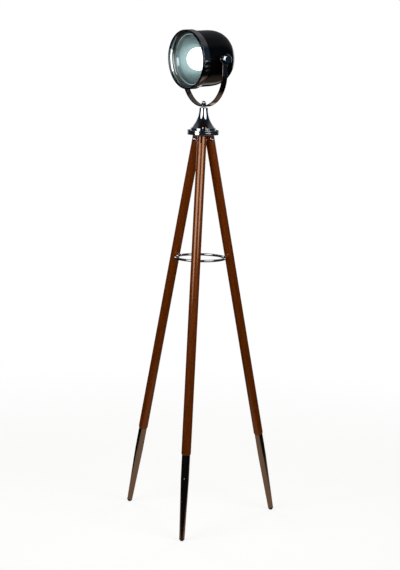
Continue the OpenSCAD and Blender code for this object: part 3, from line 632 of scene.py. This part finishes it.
def bent_strip():
    """The section carried along the strip's path: up one arm, round the half ring, down the other.

    The ring's points are centre + radius * (cos, sin). Past each pivot the width shrinks
    as sqrt(1 - (distance past the pivot / half width)^2), which rounds the end."""
    middle = yoke_inner + yoke_thick / 2
    tip = yoke_wide / 2 * np.sin(np.linspace(np.pi / 2, 0, 14))
    arm = np.concatenate([arm_length + tip, np.linspace(arm_length, 0, 12)[1:]])
    bend = np.linspace(np.pi, 2 * np.pi, 97)[1:-1]
    x = np.concatenate([-middle + 0 * arm, middle * np.cos(bend), middle + 0 * arm])
    z = np.concatenate([arm, middle * np.sin(bend), arm[::-1]])
    outward = np.stack([
        np.concatenate([-1 + 0 * arm, np.cos(bend), 1 + 0 * arm]),
        np.concatenate([0 * arm, np.sin(bend), 0 * arm]),
    ], axis=1)
    past = np.maximum(np.concatenate([arm, 0 * bend, arm[::-1]]) - arm_length, 0)
    share = np.sqrt(np.maximum(1 - (past / (yoke_wide / 2)) ** 2, 0))
    section = strip_section()
    across = section[None, :, 0] * share[:, None]
    through = section[None, :, 1]
    return yoke_bend + mm * np.stack([
        x[:, None] + outward[:, :1] * through, across, z[:, None] + outward[:, 1:] * through,
    ], axis=-1)


yoke_plate = plated("smoky nickel plate on steel", "#a3938e", 0.08, seed=3.0)
yoke = finished("yoke_piece", grid_mesh("yoke", bent_strip(), close_columns=True), yoke_plate, ["yoke"])


def finish_where(piece, place, material, chosen):
    """Gives a second finish to the faces that chosen picks.

    It picks by their centres' x, y and z in the frame of place, in millimetres."""
    centres = np.empty(3 * len(piece.data.polygons))
    piece.data.polygons.foreach_get("center", centres)
    picked = chosen(*((centres.reshape(-1, 3) - place[:3, 3]) @ place[:3, :3] / mm).T)
    finish_number = np.empty(len(picked), dtype=np.int32)
    piece.data.polygons.foreach_get("material_index", finish_number)
    finish_number[picked] = len(piece.data.materials)
    piece.data.materials.append(material)
    piece.data.polygons.foreach_set("material_index", finish_number)


def on_cut_edge(x, y, z):
    """True within 1.7 mm of the middle of the strip's thickness, so on neither of its faces."""
    radius = np.where(z > 0, np.abs(x), np.hypot(x, z))
    return np.abs(radius - yoke_inner - yoke_thick / 2) < 1.7


# the sheared edges are only brushed before plating, so they look darker and softer
edge_plate = plated("brushed smoky nickel plate", "#5a4f4a", 0.3, seed=4.0)
finish_where(yoke, shift(*yoke_bend), edge_plate, on_cut_edge)
for node in ("right_tilt_washer", "left_tilt_washer", "swivel_bush", "swivel_washer", "swivel_cap_nut"):
    machined(node, chrome, edge=0.2)

# Housing ------------------------------------------------------------------------------
# A deep steel cup, spun and stove-enamelled gloss black, with a flange turned out
# round its mouth and a bluntly domed back. It mirrors the softboxes only dimly.

head_dip = np.radians(3.0)
head_place = shift(*stand_at[:2], pivot_height) @ turn("X", np.pi / 2 + head_dip)
shell_radius = 88.5
dome_deep = 83.0
dome_square = 2.8
shell_wall = 1.5
flange_radius = 91.7
flange_from, flange_to = 54.4, 55.9


def dome_outline(radius, deep, steps=56):
    """Superellipse from the side to the pole, for a from 0 to 90 degrees.

    Its radius is radius * cos(a)^(2/n) and its height -deep * sin(a)^(2/n), with n = dome_square."""
    angle = np.linspace(0, np.pi / 2, steps)
    cosine = np.abs(np.cos(angle)) ** (2 / dome_square)
    sine = np.abs(np.sin(angle)) ** (2 / dome_square)
    cosine[-1] = 0.0
    return np.stack([radius * cosine, -deep * sine], axis=1)


shell_mouth = rounded([
    (shell_radius - shell_wall, 0, 0), (shell_radius - shell_wall, flange_to, 0.3),
    (flange_radius, flange_to, 0.5), (flange_radius, flange_from, 0.5),
    (shell_radius, flange_from, 0.8), (shell_radius, 0, 0),
])
shell_outline = np.vstack([
    dome_outline(shell_radius - shell_wall, dome_deep - shell_wall)[::-1], shell_mouth[1:],
    dome_outline(shell_radius, dome_deep)[1:],
])
enamel, tree = empty_material("gloss black stove enamel")
seat = add(tree, "ShaderNodeTexCoord").outputs["Object"]
# the slow waves of sprayed enamel, 12 mm across, and dust in patches of 2.5 mm that
# dulls it a little
waves = add(tree, "ShaderNodeTexNoise", {"Vector": seat, "Scale": per(12.5), "Detail": 1.0})
peel = add(tree, "ShaderNodeBump", {"Height": waves.outputs["Fac"], "Strength": 0.05, "Distance": 0.1 * mm})
dust = add(tree, "ShaderNodeTexNoise", {"Vector": seat, "Scale": per(2.5), "Detail": 3.0})
dull = add(tree, "ShaderNodeMapRange", {"Value": dust.outputs["Fac"], "To Min": 0.06, "To Max": 0.13})
paint = add(tree, "ShaderNodeBsdfPrincipled", {
    "Base Color": linear("#050506"), "Roughness": dull.outputs["Result"], "IOR": 1.5,
    "Normal": peel.outputs[0],
})
add(tree, "ShaderNodeOutputMaterial", {"Surface": paint.outputs[0]})
finished("housing_piece", turned("housing", shell_outline, head_place, turns=192), enamel, ["housing"])

# Pivots -------------------------------------------------------------------------------
# Turned bosses stand on the housing and carry the tilt studs, which are held by nuts
# inside. The bosses are chromed, and the rest zinc-plated, which looks pale and dull.

for node in ("right_pivot_boss", "left_pivot_boss"):
    machined(node, chrome, edge=0.3)
zinc = plated("bright zinc plate on steel", "#b4b3ae", 0.25, seed=4.0)
for node in ("right_pivot_stud", "left_pivot_stud", "right_pivot_nut", "left_pivot_nut"):
    machined(node, zinc, edge=0.15)

# Front rim ----------------------------------------------------------------------------
# A spun steel hood with a rolled bead at its front edge and a flange behind that holds
# the lens, chromed to a mirror that shows the dark drapes and the softboxes.

hood_inner = 88.0
hood_outer = 89.2
hood_back = 57.0
lip_inner = 80.5
lip_front = 58.2
bead_radius = 2.75
bead_front = 77.0
bead_angle = np.radians(np.linspace(-124.3, 180, 40))
bead_turn = bead_radius * np.stack([np.cos(bead_angle), np.sin(bead_angle)], axis=1)
bead = bead_turn + [hood_inner + bead_radius, bead_front - bead_radius]
rim_back = rounded([
    (hood_inner, 70, 0), (hood_inner, lip_front, 1.2),
    (lip_inner, lip_front, 0.5), (lip_inner, hood_back, 0.5),
    (flange_radius, hood_back, 0.4), (flange_radius, lip_front, 0.4),
    (hood_outer, lip_front, 0.5), (hood_outer, 60.0, 0),
])
rim_outline = np.vstack([bead, rim_back])
rim_plate = plated("mirror chrome plate on steel", "#d0d2d4", 0.05, seed=5.0)
hood = turned("front_rim", rim_outline, head_place, turns=192, close_outline=True)
front_rim = finished("front_rim_piece", hood, rim_plate, ["front_rim"])
# the bead is plated darker, so that it draws a fine dark line round the mouth
bead_back = 71.9
bead_plate = plated("black chrome", "#4d5058", 0.07, seed=8.0)
finish_where(front_rim, head_place, bead_plate, lambda x, y, z: z > bead_back)
# the ledge in front of the lens isn't polished, so it is an even pale grey
ledge_plate = plated("satin chrome", "#b4bfbd", 0.28, seed=9.0)
finish_where(front_rim, head_place, ledge_plate, lambda x, y, z: (
    (np.hypot(x, y) < hood_inner - 1) & (z > hood_back + 0.5)
))

# Clamp band ---------------------------------------------------------------------------
# A rolled strip that closes over the rim and the housing's mouth, split at the right
# side, with two lugs and a screw that draws them together.

machined("clamp_band", rim_plate, edge=0.4, segments=3)
for node in ("clamp_screw", "clamp_nut"):
    machined(node, chrome, edge=0.15)

# Lens ---------------------------------------------------------------------------------
# A disc of clear pressed glass that bulges forward 12 mm, with a flat ground edge
# held between the reflector and a black rubber gasket. The glass is faintly green, and
# ripples 17 mm wide from the mould bend what is seen through it a little.

lens_glass, tree = empty_material("clear pressed glass")
seat = add(tree, "ShaderNodeTexCoord").outputs["Object"]
ripple = add(tree, "ShaderNodeTexNoise", {"Vector": seat, "Scale": per(16.667), "Detail": 1.0})
wavy = add(tree, "ShaderNodeBump", {
    "Height": ripple.outputs["Fac"], "Strength": 0.03, "Distance": 0.1 * mm,
})
glass = add(tree, "ShaderNodeBsdfPrincipled", {
    "Base Color": linear("#f1f8f7"), "Roughness": 0.0, "IOR": 1.5,
    "Transmission Weight": 1.0, "Normal": wavy.outputs[0],
})
add(tree, "ShaderNodeOutputMaterial", {"Surface": glass.outputs[0]})
lens_back = 52.0
lens_thick = 4.0
lens_rise = 12.0
lens_radius = 86.8
bulge_r = 80.0
edge_from = bulge_r + 0.3
# both faces are parts of balls about one centre, and the inner ball's radius is
# (bulge radius^2 + rise^2) / (2 * rise)
lens_ball = (bulge_r ** 2 + lens_rise ** 2) / (2 * lens_rise)
bulge = np.linspace(0, bulge_r, 40)
ball_z = lens_back + lens_rise - lens_ball
inner_face = np.stack([bulge, ball_z + np.sqrt(lens_ball ** 2 - bulge ** 2)], axis=1)
outer_face = np.stack([bulge, ball_z + np.sqrt((lens_ball + lens_thick) ** 2 - bulge ** 2)], axis=1)[::-1]
lens_front = lens_back + lens_thick
lens_edge = rounded([
    (edge_from, lens_back, 0), (lens_radius, lens_back, 0.4),
    (lens_radius, lens_front, 1.0), (edge_from, lens_front, 0),
])
lens_mesh = turned("lens", np.vstack([inner_face, lens_edge, outer_face]), head_place, turns=192)
lens = finished("lens_piece", lens_mesh, lens_glass, ["lens"])
# the edge is ground flat with coarse grit, drawn 0.7 mm wide, so it is pale and cloudy
ground_from = 77.6
ground_glass, tree = empty_material("ground glass edge")
seat = add(tree, "ShaderNodeTexCoord").outputs["Object"]
grit = add(tree, "ShaderNodeTexNoise", {"Vector": seat, "Scale": per(0.6667), "Detail": 2.0})
ground = add(tree, "ShaderNodeMix", {
    "Factor": grit.outputs["Fac"], "A": linear("#b9cfcb"), "B": linear("#dcebe8"),
}, data_type="RGBA")
pits = add(tree, "ShaderNodeBump", {"Height": grit.outputs["Fac"], "Strength": 0.3, "Distance": 0.05 * mm})
matt_glass = add(tree, "ShaderNodeBsdfPrincipled", {
    "Base Color": ground.outputs["Result"], "Roughness": 0.55, "IOR": 1.5, "Normal": pits.outputs[0],
})
add(tree, "ShaderNodeOutputMaterial", {"Surface": matt_glass.outputs[0]})
finish_where(lens, head_place, ground_glass, lambda x, y, z: np.hypot(x, y) > ground_from)
machined("lens_gasket", rubber_finish, edge=0.1)

# Reflector ----------------------------------------------------------------------------
# A parabolic bowl spun from aluminium sheet and brightened, so that it shows faint
# rings from the spinning tool and glows with the bulb's light.

bowl_edge_r = 80.0
bowl_neck_r = 22.0
bowl_front = 50.5
bowl_back = -28.0
bowl_wall = 0.9
neck_back = -36.0
flange_back, flange_front = 50.6, 51.5
# a parabola: the radius squared grows evenly from the neck to the edge
bowl_z = np.linspace(bowl_front, bowl_back, 48)
bowl_share = (bowl_z - bowl_back) / (bowl_front - bowl_back)
bowl_r = np.sqrt(bowl_neck_r ** 2 + (bowl_edge_r ** 2 - bowl_neck_r ** 2) * bowl_share)
bowl_in = np.stack([bowl_r, bowl_z], axis=1)
bowl_flange = rounded([
    (lens_radius, flange_back, 0), (lens_radius, flange_front, 0.2),
    (bowl_edge_r + 0.6, flange_front, 0.6), (bowl_edge_r - 0.1, bowl_front - 0.3, 0),
])
bowl_outline = np.vstack([
    bowl_flange, bowl_in[1:], [(bowl_neck_r, neck_back), (bowl_neck_r + bowl_wall, neck_back)],
    (bowl_in + [0.8, -0.6])[::-1],
])
reflector_finish, tree = empty_material("brightened spun aluminium")
apart = add(tree, "ShaderNodeSeparateXYZ", {0: own_seat(tree, head_place)})
flat = add(tree, "ShaderNodeCombineXYZ", {"X": apart.outputs["X"], "Y": apart.outputs["Y"]})
out = add(tree, "ShaderNodeVectorMath", {0: flat.outputs[0]}, operation="LENGTH")
# the tool leaves rings 1.6 mm apart, and the brightening bath patches 22 mm wide
ring_count = add(tree, "ShaderNodeMath", {
    0: out.outputs["Value"], 1: 2 * np.pi * per(1.6),
}, operation="MULTIPLY")
rings = add(tree, "ShaderNodeMath", {0: ring_count.outputs[0]}, operation="SINE")
spun = add(tree, "ShaderNodeBump", {"Height": rings.outputs[0], "Strength": 0.08, "Distance": 0.05 * mm})
seat = add(tree, "ShaderNodeTexCoord").outputs["Object"]
blotch = add(tree, "ShaderNodeTexNoise", {"Vector": seat, "Scale": per(22.22), "Detail": 3.0})
rough = add(tree, "ShaderNodeMapRange", {"Value": blotch.outputs["Fac"], "To Min": 0.3, "To Max": 0.35})
bowl_metal = add(tree, "ShaderNodeBsdfPrincipled", {
    "Base Color": linear("#859a9f"), "Metallic": 1.0,
    "Roughness": rough.outputs["Result"], "Normal": spun.outputs[0],
})
add(tree, "ShaderNodeOutputMaterial", {"Surface": bowl_metal.outputs[0]})
bowl = turned("reflector", bowl_outline, head_place, turns=192, close_outline=True)
finished("reflector_piece", bowl, reflector_finish, ["reflector"])

# Lamp holder --------------------------------------------------------------------------
# A porcelain cup, cream under a wet-looking glaze, with a contact of plain yellow
# brass. It screws on the brass nipple that comes in through the housing's back, and its
# ring backs the reflector's neck.

porcelain, tree = empty_material("glazed porcelain")
seat = add(tree, "ShaderNodeTexCoord").outputs["Object"]
specks = add(tree, "ShaderNodeTexNoise", {"Vector": seat, "Scale": per(2), "Detail": 2.0})
cream = add(tree, "ShaderNodeMix", {
    "Factor": specks.outputs["Fac"], "A": linear("#e6e2d8"), "B": linear("#f1eee6"),
}, data_type="RGBA")
glaze = add(tree, "ShaderNodeBsdfPrincipled", {
    "Base Color": cream.outputs["Result"], "Roughness": 0.15, "IOR": 1.54,
})
add(tree, "ShaderNodeOutputMaterial", {"Surface": glaze.outputs[0]})
machined("lamp_holder", porcelain, edge=0.5)
brass = plated("plain turned brass", "#c29a4e", 0.22, seed=6.0)
for node in ("holder_contact", "gland_nipple", "nipple_nut"):
    machined(node, brass, edge=0.15)

# Bulb ---------------------------------------------------------------------------------
# A frosted globe blown from soda glass, lit, with a zinc-plated screw cap and a black
# nylon insulator at its foot. The lit glass glows an even warm white.

globe_radius = 36.0
globe_centre = 24.0
neck_radius = 14.2
neck_foot = -20.0
neck_blend = 14.0
glass_wall = 1.0


def globe_outline(radius, neck, foot):
    """Circle about the globe's centre that runs into a straight neck by a cosine blend.

    The circle ends where it is 1.25 times as wide as the neck, and from there the radius
    eases to the neck's over the length of the blend."""
    start = np.arccos(-np.sqrt(1 - (neck / radius * 1.25) ** 2))
    angle = np.linspace(0, start, 40)
    ball = np.stack([radius * np.sin(angle), globe_centre + radius * np.cos(angle)], axis=1)
    share = np.linspace(0, 1, 10)[1:, None]
    ease = (0.5 - 0.5 * np.cos(np.pi * share)) ** 0.7
    join = ball[-1] + [neck - ball[-1, 0], -neck_blend] * np.hstack([ease, share])
    return np.vstack([ball, join, [(neck, foot)]])


bulb_outline = np.vstack([
    globe_outline(globe_radius, neck_radius, neck_foot),
    globe_outline(globe_radius - glass_wall, neck_radius - glass_wall, neck_foot)[::-1],
])
frosted, tree = empty_material("lit frosted glass")
seat = add(tree, "ShaderNodeTexCoord").outputs["Object"]
etch = add(tree, "ShaderNodeTexNoise", {"Vector": seat, "Scale": per(3.333), "Detail": 2.0})
misty = add(tree, "ShaderNodeMapRange", {"Value": etch.outputs["Fac"], "To Min": 0.45, "To Max": 0.6})
lit = add(tree, "ShaderNodeBsdfPrincipled", {
    "Base Color": linear("#fbf9f4"), "Roughness": misty.outputs["Result"], "IOR": 1.5,
    "Emission Color": linear("#fffdf6"), "Emission Strength": 2.2,
})
add(tree, "ShaderNodeOutputMaterial", {"Surface": lit.outputs[0]})
finished("bulb_glass_piece", turned("bulb_glass", bulb_outline, head_place), frosted, ["bulb_glass"])
machined("bulb_cap", zinc, edge=0.1)
# nylon from an eroded mould: near black, with a fine grain that softens its sheen
plastic, tree = empty_material("moulded black nylon")
seat = add(tree, "ShaderNodeTexCoord").outputs["Object"]
grain = add(tree, "ShaderNodeTexNoise", {"Vector": seat, "Scale": per(1.111), "Detail": 2.0})
fine = add(tree, "ShaderNodeBump", {
    "Height": grain.outputs["Fac"], "Strength": 0.15, "Distance": 0.05 * mm,
})
sheen = add(tree, "ShaderNodeMapRange", {"Value": grain.outputs["Fac"], "To Min": 0.42, "To Max": 0.55})
nylon = add(tree, "ShaderNodeBsdfPrincipled", {
    "Base Color": linear("#161616"), "Roughness": sheen.outputs["Result"], "IOR": 1.53,
    "Normal": fine.outputs[0],
})
add(tree, "ShaderNodeOutputMaterial", {"Surface": nylon.outputs[0]})
machined("bulb_insulator", plastic, edge=0.1)

# Cable gland --------------------------------------------------------------------------
# A tapered nylon gland screwed on the nipple at the back of the housing, where a
# mains lead goes in.

machined("cable_gland", plastic, edge=0.4)

# Clamp knobs --------------------------------------------------------------------------
# Steel discs turned in one with slim necks, bevelled round the face and plated a
# blue-black chrome. They screw down on the tilt studs and pinch the yoke's arms.

knob_start = (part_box("right_knob")[0][0] - stand_at[0]) / mm
knob_neck_long = 5.0
knob_neck_radius = 8.0
knob_thick = 7.0
knob_radius = 17.5
knob_bore = 4.08
bore_deep = 7.5
knob_steel = plated("polished blue-black chrome", "#aaacb6", 0.07, seed=7.0)
for node, side in (("right_knob", 1), ("left_knob", -1)):
    side_place = shift(*stand_at[:2], pivot_height) @ turn("X", head_dip) @ turn("Y", np.pi / 2 * side)
    face = knob_neck_long + knob_thick
    knob_outline = rounded([
        (knob_bore, bore_deep, 0), (knob_bore, 0, 0.3),
        (knob_neck_radius, 0, 0.4), (knob_neck_radius, knob_neck_long, 1.6),
        (knob_radius, knob_neck_long, 1.2), (knob_radius, face - 3.4, 0.8),
        (knob_radius - 1.2, face - 2.3, 0.8), (knob_radius - 5.5, face, 3.0), (0, face, 0),
    ])
    knob_outline = np.vstack([[(0, bore_deep)], knob_outline]) + [0, knob_start]
    finished(node + "_piece", turned(node, knob_outline, side_place, turns=96), knob_steel, [node])
